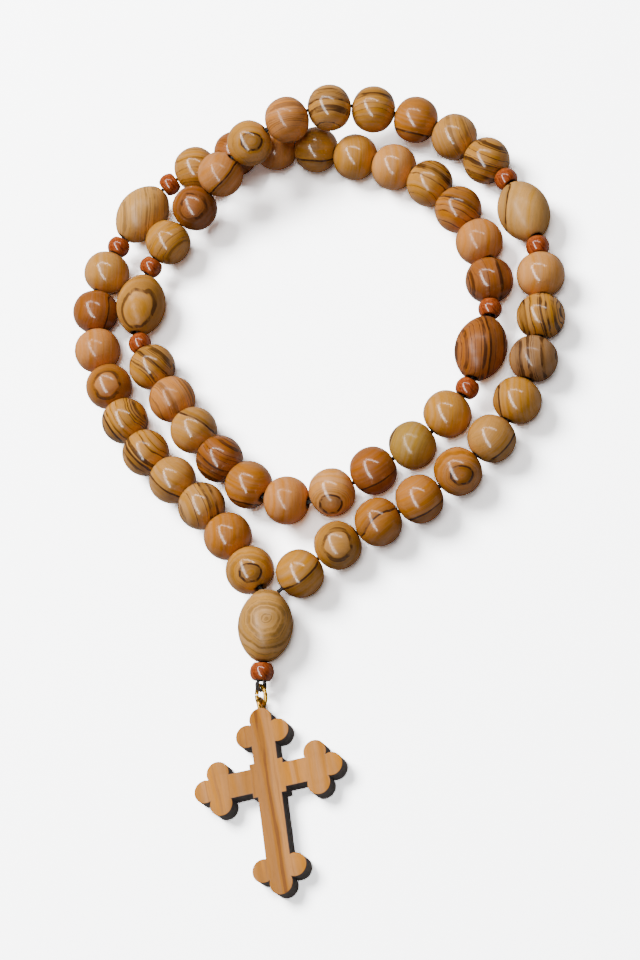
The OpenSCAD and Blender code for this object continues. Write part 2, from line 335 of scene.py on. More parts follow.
def between(tree, factor, one, other):
    """A colour between two others."""
    inputs = {"Factor": factor, 6: one, 7: other}
    return put(tree, "ShaderNodeMix", inputs, data_type="RGBA").outputs[2]


def relief(tree, shader, height, strength, distance):
    """A fine relief on a finish."""
    inputs = {"Height": height, "Strength": strength, "Distance": distance}
    tree.links.new(put(tree, "ShaderNodeBump", inputs).outputs[0], shader.inputs["Normal"])


def cord_finish():
    """Waxed thread: nearly black, with fine filaments along each strand and a dull wax shine."""
    material, tree, shader = new_material("waxed_cord", Roughness=0.5)
    threads = noise(tree, put(tree, "ShaderNodeTexCoord").outputs["Object"], 9000.0, 2.0)
    colour = between(tree, threads, (*shade(14, 12, 12), 1), (*shade(52, 46, 44), 1))
    tree.links.new(colour, shader.inputs["Base Color"])
    relief(tree, shader, threads, 0.35, 0.00005)
    return material


route = cord_route()
cord = start_mesh("waxed_cord", route, [(i, (i + 1) % len(route)) for i in range(len(route))])
grow(cord, plaited_cord_tree(cord_finish()))
settle([cord])
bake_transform(cord)
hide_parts("loop_cord", "drop_cord")


# ---- Olive wood ----
# Every bead is turned from its own scrap of olive wood, so each cuts the growth rings in another
# place. A piece is described by the heart of its ring pattern and by one bold dark line.
WOOD_TONES = {
    "golden": shade(184, 126, 54),
    "amber": shade(172, 108, 44),
    "tan": shade(188, 132, 66),
    "pink": shade(190, 124, 66),
    "peach": shade(200, 136, 72),
    "brown": shade(146, 86, 38),
    "olive": shade(166, 126, 58),
    "grey": shade(156, 112, 70),
    "pale": shade(194, 142, 76),
}
HEART_FAR = 0.014
DARK_WOOD = (*shade(52, 28, 16), 1)
SEED_STEP = 3.7
THIN_VARNISH = 0.4
FIBRE_DRAWN_OUT = 0.14
WOOD_RELIEF = 0.00006


def seen_from_above(x, y, z=0.0):
    """A direction given as it looks in the main view: right, up and towards the viewer."""
    return camera_turn.to_3x3() @ Vector((x, y, z))


def wood_cut(figure, degrees, offset, radius):
    """Where a piece's growth rings have their heart, which way its fibres run, where its bold line
    is, and how strong its bold and thin lines are. degrees and offset place the bold line as it
    is seen from above, offset in radii from the piece's middle."""
    angle = math.radians(degrees)
    to_line = seen_from_above(math.cos(angle), math.sin(angle))
    beside = seen_from_above(-math.sin(angle), math.cos(angle))
    above = seen_from_above(0, 0, 1)
    if figure == "ring":
        return to_line * offset * radius, above, 0.40 * radius, 1.0, 0.25
    if figure == "rings":
        return to_line * offset * radius, above, radius, 0.5, 0.4
    if figure == "crown":
        heart = to_line * offset * radius - above * HEART_FAR
        return heart, beside, HEART_FAR + 0.80 * radius, 0.8, 0.35
    bold, thin = {"plain": (0.0, 0.0), "faint": (0.0, 0.45), "line": (1.0, 0.08), "lines": (1.0, 0.85),
                  "bands": (0.9, 0.8)}[figure]
    return to_line * HEART_FAR, beside, HEART_FAR - offset * radius, bold, thin


def wood_group():
    """Growth rings, dark heartwood lines, fibres and pores of olive wood. Ring is the distance from
    the heart and Fibre a place in the wood that is drawn out along the fibres, both in millimetres."""
    tree = bpy.data.node_groups.new("olive wood", "ShaderNodeTree")
    for label, kind, value in [
        ("Ring", "NodeSocketFloat", 10.0), ("Fibre", "NodeSocketVector", (0, 0, 0)),
        ("Line At", "NodeSocketFloat", 12.0), ("Bold", "NodeSocketFloat", 1.0),
        ("Thin", "NodeSocketFloat", 0.5), ("Seed", "NodeSocketFloat", 0.0),
        ("Tint", "NodeSocketColor", (0.5, 0.3, 0.1, 1)), ("Dark", "NodeSocketColor", DARK_WOOD),
    ]:
        tree.interface.new_socket(label, in_out="INPUT", socket_type=kind).default_value = value
    for label, kind in [("Color", "NodeSocketColor"), ("Dark Mask", "NodeSocketFloat"),
                        ("Height", "NodeSocketFloat")]:
        tree.interface.new_socket(label, in_out="OUTPUT", socket_type=kind)
    given = tree.nodes.new("NodeGroupInput").outputs

    def in_wood(scale, detail):
        return noise(tree, given["Fibre"], scale, detail)

    def noise_along(value, scale, detail):
        return put(tree, "ShaderNodeTexNoise", {"W": value, "Scale": scale, "Detail": detail},
                   noise_dimensions="1D").outputs[0]

    def ramp(value, low, high, at_low, at_high):
        return put(tree, "ShaderNodeMapRange", {0: value, 1: low, 2: high, 3: at_low, 4: at_high},
                   interpolation_type="SMOOTHSTEP").outputs[0]

    wobble = sum_up(tree, "MULTIPLY_ADD", in_wood(0.24, 2.0), 1.9, -0.95)
    waver = sum_up(tree, "MULTIPLY_ADD", in_wood(1.4, 2.0), 0.22, -0.11)
    ring = sum_up(tree, "ADD", sum_up(tree, "ADD", given["Ring"], wobble), waver)
    seeded = sum_up(tree, "MULTIPLY_ADD", given["Seed"], SEED_STEP, ring)
    broken = ramp(in_wood(0.7, 2.0), 0.34, 0.55, 0.25, 1.0)

    growth = noise_along(seeded, 1.1, 3.0)
    contour = sum_up(tree, "ABSOLUTE", sum_up(tree, "SUBTRACT", noise_along(seeded, 0.42, 2.0), 0.5))
    thin = sum_up(tree, "MULTIPLY", ramp(contour, 0.012, 0.032, 1.0, 0.0), given["Thin"])
    thin = sum_up(tree, "MULTIPLY", thin, broken)
    from_line = sum_up(tree, "SUBTRACT", ring, given["Line At"])
    near_line = sum_up(tree, "ABSOLUTE", from_line)
    bold = sum_up(tree, "MULTIPLY", ramp(near_line, 0.14, 0.32, 1.0, 0.0), given["Bold"])
    bold = sum_up(tree, "MULTIPLY", bold, ramp(broken, 0.2, 1.0, 0.55, 1.0))
    rises, falls = ramp(from_line, -2.6, 0.0, 0.0, 1.0), ramp(from_line, 0.0, 0.05, 1.0, 0.0)
    inside = sum_up(tree, "MULTIPLY", rises, falls)
    shadow = sum_up(tree, "MULTIPLY", sum_up(tree, "MULTIPLY", inside, given["Bold"]), 0.40)
    pores = sum_up(tree, "MULTIPLY", ramp(in_wood(7.0, 2.0), 0.60, 0.72, 0.0, 1.0), 0.16)
    lines = sum_up(tree, "MAXIMUM", sum_up(tree, "MAXIMUM", thin, bold), shadow)
    dark = sum_up(tree, "MINIMUM", sum_up(tree, "ADD", lines, pores), 0.94)

    fibres = in_wood(3.2, 3.0)
    broad = in_wood(0.20, 1.0)
    value = sum_up(tree, "MULTIPLY_ADD", growth, 0.14, 0.44)
    value = sum_up(tree, "MULTIPLY_ADD", fibres, 0.36, value)
    value = sum_up(tree, "MULTIPLY_ADD", broad, 0.72, value)
    body = put(tree, "ShaderNodeHueSaturation", {"Value": value, "Color": given["Tint"]})
    warm = sum_up(tree, "MULTIPLY_ADD", growth, -0.3, 1.15)
    tree.links.new(warm, body.inputs["Saturation"])
    colour = between(tree, dark, body.outputs[0], given["Dark"])
    height = sum_up(tree, "SUBTRACT", sum_up(tree, "MULTIPLY", fibres, 0.4), dark)
    put(tree, "NodeGroupOutput", {0: colour, 1: dark, 2: height})
    return tree


def mouth_group():
    """A mask of the worn and dirty wood round a bore's two mouths, from a bead's own coordinates."""
    tree = bpy.data.node_groups.new("bore mouth", "ShaderNodeTree")
    for label, in_out, kind in [("Bead", "INPUT", "NodeSocketVector"),
                                ("Mouth Radius", "INPUT", "NodeSocketFloat"),
                                ("Mask", "OUTPUT", "NodeSocketFloat")]:
        tree.interface.new_socket(label, in_out=in_out, socket_type=kind)
    given = tree.nodes.new("NodeGroupInput").outputs
    flat = vector_sum(tree, "MULTIPLY", given["Bead"], (1, 1, 0)).outputs[0]
    from_axis = vector_sum(tree, "LENGTH", flat).outputs["Value"]
    uneven = sum_up(tree, "MULTIPLY_ADD", noise(tree, given["Bead"], 1.6, 3.0), 0.7, -0.35)
    beyond = sum_up(tree, "SUBTRACT", sum_up(tree, "ADD", from_axis, uneven), given["Mouth Radius"])
    mask = put(tree, "ShaderNodeMapRange", {0: beyond, 1: 0.0, 2: 0.7, 3: 0.85, 4: 0.0},
               interpolation_type="SMOOTHSTEP")
    put(tree, "NodeGroupOutput", {0: mask.outputs[0]})
    return tree


wood = wood_group()
mouth = mouth_group()


def read(tree, name, output="Fac"):
    return put(tree, "ShaderNodeAttribute", attribute_name=name).outputs[output]


def wood_finish(name, mouth_radius, varnish, **plain):
    """Olive wood under varnish that the brush left uneven. What changes from piece to piece is read
    from its own attributes."""
    material, tree, shader = new_material(name, **plain)
    figure = put(tree, "ShaderNodeGroup", node_tree=wood)
    for label, attribute, output in [
        ("Ring", "ring", "Fac"), ("Fibre", "fibre", "Vector"), ("Line At", "line_at", "Fac"),
        ("Bold", "bold", "Fac"), ("Thin", "thin", "Fac"), ("Seed", "seed", "Fac"),
        ("Tint", "tint", "Color"),
    ]:
        tree.links.new(read(tree, attribute, output), figure.inputs[label])
    own = read(tree, "bead", "Vector")
    worn = put(tree, "ShaderNodeGroup", {"Bead": own, "Mouth Radius": mouth_radius}, node_tree=mouth)
    colour = between(tree, worn.outputs[0], figure.outputs[0], DARK_WOOD)
    tree.links.new(colour, shader.inputs["Base Color"])
    build_up = put(tree, "ShaderNodeMapRange", {0: noise(tree, own, 0.8, 2.0), 1: 0.36, 2: 0.56,
                                                3: varnish * THIN_VARNISH, 4: varnish})
    tree.links.new(build_up.outputs[0], shader.inputs["Coat Weight"])
    dull = sum_up(tree, "MULTIPLY_ADD", figure.outputs["Dark Mask"], 0.12, 0.40)
    tree.links.new(dull, shader.inputs["Roughness"])
    relief(tree, shader, figure.outputs["Height"], 0.25, WOOD_RELIEF)
    return material


# ---- Turned beads ----
# Each bead is turned on a lathe from square stock, drilled, and its two mouths are eased. The
# tree below does the same: it turns an outline round an axis and sets the bead on the cord.
AROUND = 72
LIP = 0.00022


def arc(centre, radius, from_degrees, to_degrees, count):
    """Points of an arc in the outline's own plane: distance from the axis, height."""
    made = []
    for i in range(count + 1):
        angle = math.radians(from_degrees + (to_degrees - from_degrees) * i / count)
        made.append((centre[0] + radius * math.cos(angle), centre[1] + radius * math.sin(angle)))
    return made


def with_lip(upper, bore_r):
    """The upper half of an outside, from the widest point to the bore, and its eased lip."""
    end_r, end_z = upper[-1]
    return [*upper, (end_r - LIP * 0.45, end_z - LIP * 0.12),
            (bore_r + LIP * 0.1, end_z - LIP * 0.55), (bore_r, end_z - LIP * 1.3)]


def close_outline(top_half, lower_half):
    """A closed outline: up the top half, down the bore, and back up the mirrored lower half."""
    bore_r, top_z = top_half[-1]
    inside = [(bore_r, top_z * share) for share in (0.6, 0.2, -0.2, -0.6)]
    below = [(r, -z) for r, z in reversed(lower_half)]
    outline = [*top_half, *inside, *below]
    return [(r, 0.0, z) for r, z in outline]


def turned_bead_tree():
    tree, given = geometry_tree("turned bead", [
        ("Outline", "NodeSocketObject", None),
        ("Around", "NodeSocketInt", AROUND),
        ("Finish", "NodeSocketMaterial", None),
    ])
    outline = put(tree, "GeometryNodeObjectInfo", {"Object": given["Outline"]}).outputs["Geometry"]
    rows = put(tree, "GeometryNodeAttributeDomainSize", {"Geometry": outline}).outputs["Point Count"]
    columns = sum_up(tree, "ADD", given["Around"], 1.0)
    grid = put(tree, "GeometryNodeMeshGrid", {"Vertices X": columns, "Vertices Y": rows})
    number = put(tree, "GeometryNodeInputIndex").outputs[0]
    row = sum_up(tree, "MODULO", number, rows)
    column = sum_up(tree, "FLOOR", sum_up(tree, "DIVIDE", sum_up(tree, "ADD", number, 0.5), rows))
    angle = sum_up(tree, "MULTIPLY", sum_up(tree, "DIVIDE", column, given["Around"]), math.tau)
    place = put(tree, "GeometryNodeInputPosition").outputs[0]
    sample = put(tree, "GeometryNodeSampleIndex", {"Geometry": outline, "Value": place, "Index": row},
                 data_type="FLOAT_VECTOR")
    turned = put(tree, "ShaderNodeVectorRotate", {"Vector": result(sample), "Angle": angle},
                 rotation_type="Z_AXIS")
    lathe = put(tree, "GeometryNodeSetPosition",
                {"Geometry": grid.outputs[0], "Position": turned.outputs[0]})
    closed = put(tree, "GeometryNodeMergeByDistance", {"Geometry": lathe.outputs[0], "Distance": 1e-6})
    own = vector_sum(tree, "SCALE", place, Scale=MM).outputs[0]
    marked = put(tree, "GeometryNodeStoreNamedAttribute",
                 {"Geometry": closed.outputs[0], "Name": "bead", "Value": own},
                 data_type="FLOAT_VECTOR")

    def named(label):
        return put(tree, "GeometryNodeInputNamedAttribute", {"Name": label},
                   data_type="FLOAT_VECTOR").outputs[0]

    towards = put(tree, "FunctionNodeAlignRotationToVector", {"Vector": named("axis")}, axis="Z")
    set_on = put(tree, "GeometryNodeInstanceOnPoints", {"Points": given["Geometry"],
                 "Instance": marked.outputs[0], "Rotation": towards.outputs[0]})
    real = put(tree, "GeometryNodeRealizeInstances", {0: set_on.outputs[0]})
    from_heart = vector_sum(tree, "SUBTRACT", place, named("heart_at")).outputs[0]
    in_mm = vector_sum(tree, "SCALE", from_heart, Scale=MM).outputs[0]
    along = vector_sum(tree, "DOT_PRODUCT", in_mm, named("way")).outputs["Value"]
    lengthwise = vector_sum(tree, "SCALE", named("way"), Scale=along).outputs[0]
    across = vector_sum(tree, "SUBTRACT", in_mm, lengthwise).outputs[0]
    ring = vector_sum(tree, "LENGTH", across).outputs["Value"]
    drawn_out = vector_sum(tree, "SCALE", lengthwise, Scale=FIBRE_DRAWN_OUT).outputs[0]
    fibre = vector_sum(tree, "ADD", across, drawn_out).outputs[0]
    with_ring = put(tree, "GeometryNodeStoreNamedAttribute",
                    {"Geometry": real.outputs[0], "Name": "ring", "Value": ring})
    with_fibre = put(tree, "GeometryNodeStoreNamedAttribute",
                     {"Geometry": with_ring.outputs[0], "Name": "fibre", "Value": fibre},
                     data_type="FLOAT_VECTOR")
    close_tree(tree, with_fibre.outputs[0], given["Finish"])
    return tree


turned_bead = turned_bead_tree()


def bead_starts(name, places, cuts, radius, first_seed):
    """One point for each bead, with its axis, its tone and the way its wood is cut."""
    start = start_mesh(name, [centre for centre, _ in places])
    rows = []
    for i, ((centre, axis), (tone, figure, degrees, offset)) in enumerate(zip(places, cuts)):
        heart, way, line_at, bold, thin = wood_cut(figure, degrees, offset, radius)
        rows.append({"axis": axis, "heart_at": centre + heart, "way": way, "tint": WOOD_TONES[tone],
                     "line_at": line_at * MM, "bold": bold, "thin": thin,
                     "seed": float(first_seed + i)})
    for label in rows[0]:
        values = [row[label] for row in rows]
        is_number = isinstance(values[0], float)
        kind = "FLOAT" if is_number else "FLOAT_VECTOR"
        made = start.data.attributes.new(label, kind, "POINT")
        flat = values if is_number else [part for value in values for part in value]
        made.data.foreach_set("value" if is_number else "vector", flat)
    return start


# ---- Round beads ----
# Fifty balls of 10 mm with slightly flatter ends, varnished to a high gloss. Each has its own tone
# and its own dark lines, and turns freely on the cord.
BEAD_R = 0.005
BEAD_FLAT = 0.00025
BEAD_END_R = 0.0055
BEAD_BORE_R = 0.0009
BEAD_MOUTH_MM = 0.9
ROUND_WOOD = [
    [("golden", "ring", 300, 0.1), ("amber", "plain", 0, 0), ("tan", "bands", 20, 0.2),
     ("tan", "line", 235, 0.35), ("golden", "lines", 225, 0.3), ("golden", "lines", 215, 0.55),
     ("amber", "crown", 270, 0.1), ("pink", "plain", 0, 0), ("brown", "line", 350, 0.5),
     ("tan", "plain", 0, 0)],
    [("golden", "faint", 90, 0), ("brown", "faint", 60, 0), ("pink", "plain", 0, 0),
     ("golden", "line", 268, 0.42), ("golden", "plain", 0, 0), ("peach", "plain", 0, 0),
     ("golden", "lines", 60, 0.3), ("amber", "bands", 65, 0.1), ("pink", "plain", 0, 0),
     ("brown", "bands", 10, 0.3)],
    [("golden", "plain", 0, 0), ("olive", "line", 160, 0.9), ("brown", "line", 300, 0.4),
     ("peach", "ring", 265, 0.5), ("pink", "plain", 0, 0), ("amber", "line", 255, 0.7),
     ("brown", "bands", 240, 0.2), ("tan", "line", 60, 0.3), ("pink", "faint", 30, 0),
     ("golden", "bands", 50, 0.1)],
    [("golden", "faint", 135, 0.9), ("brown", "crown", 45, 0.1), ("pink", "line", 320, 0.25),
     ("golden", "ring", 320, 0.15), ("pink", "faint", 100, 0), ("tan", "bands", 90, 0.1),
     ("golden", "bands", 88, 0.45), ("amber", "line", 255, 0.6), ("tan", "faint", 200, 0.2),
     ("golden", "lines", 250, 0.2)],
    [("peach", "plain", 0, 0), ("golden", "lines", 190, 0.6), ("grey", "bands", 185, 0.5),
     ("golden", "line", 185, 0.72), ("tan", "line", 318, 0.55), ("amber", "ring", 300, 0.2),
     ("amber", "line", 300, 0.5), ("amber", "line", 130, 0.0), ("golden", "crown", 270, 0.2),
     ("golden", "line", 310, 0.02)],
]

crease = (BEAD_R**2 - BEAD_END_R**2 + (BEAD_END_R - BEAD_R + BEAD_FLAT) ** 2) / (
    -2 * (BEAD_END_R - BEAD_R + BEAD_FLAT))
end_middle = BEAD_R - BEAD_FLAT - BEAD_END_R
side_turn = math.degrees(math.asin(crease / BEAD_R))
end_from = math.degrees(math.asin((crease - end_middle) / BEAD_END_R))
end_to = math.degrees(math.acos((BEAD_BORE_R + LIP) / BEAD_END_R))
round_upper = arc((0, 0), BEAD_R, 0, side_turn, 12)[:-1]
round_upper += arc((0, end_middle), BEAD_END_R, end_from + 1.5, end_to, 12)
round_half = with_lip(round_upper, BEAD_BORE_R)
round_outline = start_mesh("round_outline", close_outline(round_half, round_half))
varnished = wood_finish("varnished_olive_wood", BEAD_MOUTH_MM, 1.0, Coat_Roughness=0.15,
                        Specular_IOR_Level=0.1)
worn_dull = wood_finish("worn_olive_wood", BEAD_MOUTH_MM, 0.5, Coat_Roughness=0.15,
                        Specular_IOR_Level=0.1)

round_beads = []
for decade, cuts in enumerate(ROUND_WOOD, start=1):
    for bead, cut in enumerate(cuts, start=1):
        name = f"decade_{decade}_bead_{bead}"
        place = bead_place(decade, bead)
        start = bead_starts(f"olive_{name}", [place], [cut], BEAD_R, 10 * decade + bead)
        finish = worn_dull if cut[0] in ("olive", "pink", "grey") else varnished
        grow(start, turned_bead, Outline=round_outline, Around=AROUND, Finish=finish)
        round_beads.append((start, name))
settle([start for start, _ in round_beads])
for start, name in round_beads:
    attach(start, name)
    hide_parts(name)
bpy.data.objects.remove(round_outline)


# ---- Oval beads ----
# Four longer beads mark the spaces between the decades. They are shaped like a plump olive, with
# pointed ends, and have a satin finish.
OVAL_R = 0.0054
OVAL_L = PIECE_LENGTH["oval"]
OVAL_END_R = 0.004
PAIR_BORE_R = 0.00115
PAIR_MOUTH_MM = 1.15
OVAL_WOOD = [("pale", "faint", 0, 0), ("brown", "bands", 0, 0.15), ("golden", "crown", 20, 0.0),
             ("pale", "line", 175, 0.65)]


def oval_upper(radius, length, end_r, mouth_r):
    """A long side arc that runs into a round end."""
    end_at = length / 2 - end_r
    side_r = (end_at**2 + radius**2 - end_r**2) / (2 * (radius - end_r))
    meet = math.degrees(math.asin(end_at / (side_r - end_r)))
    last = math.degrees(math.acos((mouth_r + LIP) / end_r))
    side = arc((radius - side_r, 0), side_r, 0, meet, 14)
    return side[:-1] + arc((0, end_at), end_r, meet, last, 10)


satin = wood_finish("satin_olive_wood", PAIR_MOUTH_MM, 0.4, Coat_Roughness=0.3,
                    Specular_IOR_Level=0.1)
oval_half = with_lip(oval_upper(OVAL_R, OVAL_L, OVAL_END_R, PAIR_BORE_R), PAIR_BORE_R)
oval_outline = start_mesh("oval_outline", close_outline(oval_half, oval_half))
in_order = [(centre, axis) for kind, centre, axis in string if kind == "oval"]
oval_beads = bead_starts("olive_oval_beads", in_order, OVAL_WOOD, OVAL_R, 71)
grow(oval_beads, turned_bead, Outline=oval_outline, Around=AROUND, Finish=satin)
settle([oval_beads])
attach(oval_beads, "strand")
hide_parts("oval_beads")
bpy.data.objects.remove(oval_outline)


# ---- Spacer beads ----
# Small beads stained reddish brown stand on both sides of every oval and under the centre bead.
# They are balls cut flat at both ends, with a bore wide enough for two cords.
SPACER_R = 0.00245
SPACER_L = PIECE_LENGTH["spacer"]
SPACER_PLAY = 0.00006
STAIN = shade(150, 70, 28)


def spacer_finish():
    """A red stain that soaked in unevenly, under gloss varnish."""
    material, tree, shader = new_material("red_stained_wood", Coat_Weight=1.0, Coat_Roughness=0.08,
                                          Specular_IOR_Level=0.1)
    fibres = read(tree, "fibre", "Vector")
    soaked = sum_up(tree, "MULTIPLY", noise(tree, fibres, 1.3, 4.0), 0.5)
    mixed = sum_up(tree, "MULTIPLY_ADD", noise(tree, fibres, 5.0, 3.0), 0.5, soaked)
    colour = put(tree, "ShaderNodeValToRGB", {"Fac": mixed})
    stops = colour.color_ramp.elements
    stops[0].position, stops[0].color = 0.33, (*shade(92, 36, 14), 1)
    stops[1].position, stops[1].color = 0.66, (*shade(188, 98, 44), 1)
    stops.new(0.5).color = (*STAIN, 1)
    worn = put(tree, "ShaderNodeGroup", {"Bead": read(tree, "bead", "Vector"),
               "Mouth Radius": PAIR_MOUTH_MM}, node_tree=mouth)
    final = between(tree, worn.outputs[0], colour.outputs[0], (*shade(58, 18, 10), 1))
    tree.links.new(final, shader.inputs["Base Color"])
    dull = sum_up(tree, "MULTIPLY_ADD", mixed, 0.2, 0.3)
    tree.links.new(dull, shader.inputs["Roughness"])
    relief(tree, shader, mixed, 0.2, 0.00005)
    return material


flat_from = math.degrees(math.asin(SPACER_L / 2 / SPACER_R))
spacer_upper = arc((0, 0), SPACER_R, 0, flat_from - 3, 9)
shoulder_r = SPACER_R * math.cos(math.radians(flat_from))
spacer_upper += [(shoulder_r, SPACER_L / 2 - LIP * 0.25), (shoulder_r - LIP * 0.8, SPACER_L / 2)]
spacer_upper += [(PAIR_BORE_R + LIP, SPACER_L / 2)]
spacer_half = with_lip(spacer_upper, PAIR_BORE_R)
spacer_outline = start_mesh("spacer_outline", close_outline(spacer_half, spacer_half))
stained = spacer_finish()
spacer_cut = ("amber", "plain", 40, 0)
in_order = [(centre, axis) for kind, centre, axis in string if kind == "spacer"]
loop_spacers = bead_starts("stained_spacers", in_order, [spacer_cut] * len(in_order), SPACER_R, 81)
drop_spacer_at = pivot + drop_dir * (CENTRE_L + SPACER_PLAY + SPACER_L / 2)
drop_spacer = bead_starts("stained_drop_spacer", [(drop_spacer_at, drop_dir)], [spacer_cut],
                          SPACER_R, 91)
for start in (loop_spacers, drop_spacer):
    grow(start, turned_bead, Outline=spacer_outline, Around=48, Finish=stained)
settle([loop_spacers, drop_spacer])
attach(loop_spacers, "strand")
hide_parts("loop_spacers")
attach(drop_spacer, "drop_spacer")
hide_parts("drop_spacer")
bpy.data.objects.remove(spacer_outline)


# ---- Centre bead ----
# The largest oval closes the loop. Both ends of the loop go into its flared upper mouth, and the
# pair of cords comes out below. Its wood is plain, with faint rings and one dark line.
CENTRE_R = 0.0056
FLARE_R = 0.0022

centre_upper = oval_upper(CENTRE_R, CENTRE_L, OVAL_END_R, PAIR_BORE_R)
rim_z = CENTRE_L / 2 - OVAL_END_R + math.sqrt(OVAL_END_R**2 - FLARE_R**2)
flared_half = [(r, z) for r, z in centre_upper if r > FLARE_R + LIP * 0.5]
flared_half += [(FLARE_R, rim_z), (FLARE_R - LIP * 0.4, rim_z - LIP * 0.4)]
for share in (0.75, 0.5, 0.25, 0):
    flared_half.append((PAIR_BORE_R + (FLARE_R - PAIR_BORE_R) * share,
                        CENTRE_L / 2 - MOUTH_DEPTH * (1 - share)))
centre_half = with_lip(centre_upper, PAIR_BORE_R)
centre_outline = start_mesh("centre_outline", close_outline(flared_half, centre_half))
centre_cut = ("pale", "rings", 80, 0.3)
centre_bead = bead_starts("olive_centre_bead", [(pivot + drop_dir * CENTRE_L / 2, -drop_dir)],
                          [centre_cut], CENTRE_R, 95)
grow(centre_bead, turned_bead, Outline=centre_outline, Around=AROUND, Finish=satin)
settle([centre_bead])
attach(centre_bead, "centre_bead")
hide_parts("centre_bead")
bpy.data.objects.remove(centre_outline)


# ---- Jump ring and screw eye ----
# A gold plated wire ring hangs in the cord's turn, its two ends pressed together. It holds the
# screw eye, whose shank is driven down into the top of the cross.
WIRE_D = 0.0008
RING_R = 0.0021
EYE_R = 0.0016
SHANK_D = 0.001
SHANK_L = 0.0064
SPLIT_DEGREES = 2.5


def bent_wire_tree(material):
    tree, given = geometry_tree("bent wire", [("Around", "NodeSocketInt", 20)])
    thick = put(tree, "GeometryNodeInputNamedAttribute", {"Name": "thick"}).outputs[0]
    curve = put(tree, "GeometryNodeMeshToCurve", {0: given["Geometry"]})
    circle = put(tree, "GeometryNodeCurvePrimitiveCircle",
                 {"Resolution": given["Around"], "Radius": 1.0})
    wire = put(tree, "GeometryNodeCurveToMesh", {"Curve": curve.outputs[0], "Scale": thick,
               "Profile Curve": circle.outputs[0], "Fill Caps": True})
    close_tree(tree, wire.outputs[0], material)
    return tree


def gold_finish():
    """Thin gold plating over drawn wire, with the faint lengthwise marks of the drawing die."""
    material, tree, shader = new_material("gold_plate", Metallic=1.0)
    marks = noise(tree, put(tree, "ShaderNodeTexCoord").outputs["Object"], 2600.0, 3.0)
    worn = between(tree, marks, (*shade(240, 186, 78), 1), (*shade(196, 138, 44), 1))
    tree.links.new(worn, shader.inputs["Base Color"])
    tree.links.new(sum_up(tree, "MULTIPLY_ADD", marks, 0.16, 0.2), shader.inputs["Roughness"])
    relief(tree, shader, marks, 0.15, 0.00002)
    return material


def bent_wire(name, paths):
    """Wire through each list of points, with each path's own diameter."""
    points, edges, radii = [], [], []
    for path, diameter in paths:
        edges += [(len(points) + i, len(points) + i + 1) for i in range(len(path) - 1)]
        points += path
        radii += [diameter / 2] * len(path)
    start = start_mesh(name, points, edges)
    thick = start.data.attributes.new("thick", "FLOAT", "POINT")
    thick.data.foreach_set("value", radii)
    return start


def wire_arc(centre, right, up, radius, from_degrees, to_degrees, steps):
    sweep = to_degrees - from_degrees
    turns = [math.radians(from_degrees + sweep * i / steps) for i in range(steps + 1)]
    return [centre + right * radius * math.cos(t) + up * radius * math.sin(t) for t in turns]


ring_dir = (eye_centre - ring_top).normalized()
ring_turn = Matrix.Rotation(math.atan2(-ring_dir.z, -ring_dir.y), 3, "X")
ring_across = ring_turn @ Vector((math.cos(RING_ROLL), 0, -math.sin(RING_ROLL)))
cross_axis = joint_at("cross_swing")[1]
table_up = Vector((0, 0, 1))
cross_up = cross_axis.cross(table_up).normalized()
cross_right = cross_up.cross(table_up)

gold_wire = bent_wire_tree(gold_finish())
jump_ring = bent_wire("gold_jump_ring", [(wire_arc(
    (ring_top + eye_centre) / 2, ring_across, ring_dir, RING_R, 180 + SPLIT_DEGREES,
    540 - SPLIT_DEGREES, 64), WIRE_D)])
shank_top = eye_centre - cross_up * EYE_R
screw_eye = bent_wire("gold_screw_eye", [
    (wire_arc(eye_centre, table_up, cross_up, EYE_R, -84, 264, 56), WIRE_D),
    ([shank_top, shank_top - cross_up * SHANK_L], SHANK_D),
])
for start in (jump_ring, screw_eye):
    grow(start, gold_wire, Around=20)
settle([jump_ring, screw_eye])
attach(jump_ring, "ring")
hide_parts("jump_ring")
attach(screw_eye, "cross")
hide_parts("screw_eye")


# ---- Cross ----
# Sawn by laser from a 4 mm board of olive wood, with its grain along the long arm. The cut has
# charred the sides dark grey and browned a thin line along the edges of the face.
EDGE_WEAR = 0.00012
EDGE_ANGLE = math.radians(50)
FACE_UP = 0.9
STREAK_SLOPE = 0.055
STREAK_AT = 12.0
STREAK_ASIDE = 0.9
RINGS_DRAWN_OUT = 0.42


def cross_finish():
    """The board's face, its streak of heartwood and the charred sides. "charred" is 1 on the sides."""
    material, tree, shader = new_material("sawn_olive_board", Specular_IOR_Level=0.12)
    figure = put(tree, "ShaderNodeGroup", {"Line At": STREAK_AT, "Bold": 0.75, "Thin": 0.3, "Seed": 5.0,
                 "Tint": (*shade(178, 116, 48), 1), "Dark": (*shade(100, 56, 26), 1)}, node_tree=wood)
    tree.links.new(read(tree, "ring"), figure.inputs["Ring"])
    tree.links.new(read(tree, "fibre", "Vector"), figure.inputs["Fibre"])
    char = read(tree, "charred")
    soot = noise(tree, read(tree, "board", "Vector"), 1.4, 4.0)
    side = between(tree, soot, (*shade(80, 76, 76), 1), (*shade(140, 134, 132), 1))
    colour = between(tree, char, figure.outputs[0], side)
    tree.links.new(colour, shader.inputs["Base Color"])
    tree.links.new(sum_up(tree, "MULTIPLY_ADD", char, 0.25, 0.48), shader.inputs["Roughness"])
    relief(tree, shader, figure.outputs["Height"], 0.25, WOOD_RELIEF)
    return material


